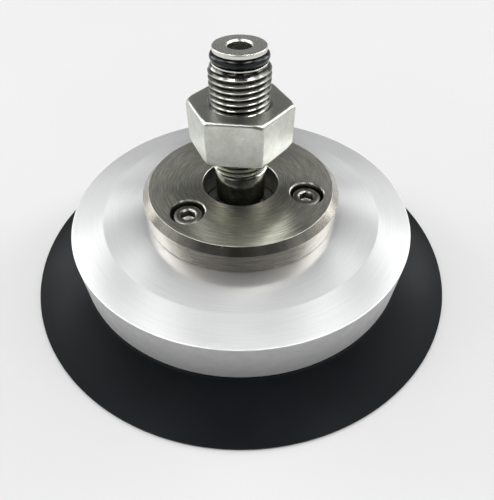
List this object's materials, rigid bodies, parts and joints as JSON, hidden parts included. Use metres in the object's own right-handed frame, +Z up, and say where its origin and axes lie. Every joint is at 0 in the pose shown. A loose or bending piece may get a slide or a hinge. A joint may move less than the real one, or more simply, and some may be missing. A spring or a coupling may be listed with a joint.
{
  "type": "vacuum suction cup",
  "caption": "Wide flat rubber suction pad under an aluminium plate, with a ball-jointed hollow threaded stem and a lock nut.",
  "frame": {"origin": "centre of the pad, on the surface that its lip rests on", "axes": "+Z up along the stem, away from the gripped surface"},
  "size_m": [0.1366, 0.1366, 0.0693],
  "materials": {
    "pad_rubber": "satin black moulded rubber",
    "plate_aluminium": "turned, fine circular tool marks",
    "ring_steel": "turned and nickel plated, warm grey",
    "screw_steel": "plain steel",
    "holder_steel": "zinc plated sheet",
    "seat_plastic": "machined black bearing plastic",
    "seal_rubber": "glossy black rubber",
    "spring_steel": "bright spring steel",
    "stem_steel": "turned stainless steel",
    "nut_zinc": "zinc plated"
  },
  "bodies": {
    "pad": {"suction_pad": "pad_rubber"},
    "head": {"adapter_plate": "plate_aluminium", "retainer_ring": "ring_steel", "retainer_screw_1": "screw_steel", "retainer_screw_2": "screw_steel", "retainer_screw_3": "screw_steel", "holder_plate": "holder_steel", "holder_screw_1": "screw_steel", "holder_screw_2": "screw_steel", "holder_screw_3": "screw_steel", "holder_screw_4": "screw_steel", "holder_screw_5": "screw_steel", "holder_screw_6": "screw_steel", "upper_seat": "seat_plastic", "ring_seal": "seal_rubber", "wave_spring": "spring_steel", "filter_screen": "spring_steel"},
    "swivel_seat": {"lower_seat": "seat_plastic", "ball_seal": "seal_rubber", "seat_seal": "seal_rubber"},
    "stem": {"ball_stem": "stem_steel", "stem_o_ring": "seal_rubber"},
    "nut": {"lock_nut": "nut_zinc"}
  },
  "joints": [
    {"name": "lip_compress", "type": "slide", "parent": "pad", "child": "head", "axis": [0, 0, 1], "range_m": [-0.0042, 0], "stiffness_N_per_m": 18000, "deforming": ["suction_pad"]},
    {"name": "ball_swivel", "type": "hinge", "parent": "head", "child": "swivel_seat", "pos_m": [0, 0, 0.017], "axis": [0, 0, 1], "continuous": true},
    {"name": "ball_tilt", "type": "hinge", "parent": "swivel_seat", "child": "stem", "pos_m": [0, 0, 0.017], "axis": [1, 0, 0], "range_deg": [-15, 15]},
    {"name": "nut_travel", "type": "slide", "parent": "stem", "child": "nut", "axis": [0, 0, 1], "range_m": [-0.006, 0.009]}
  ]
}
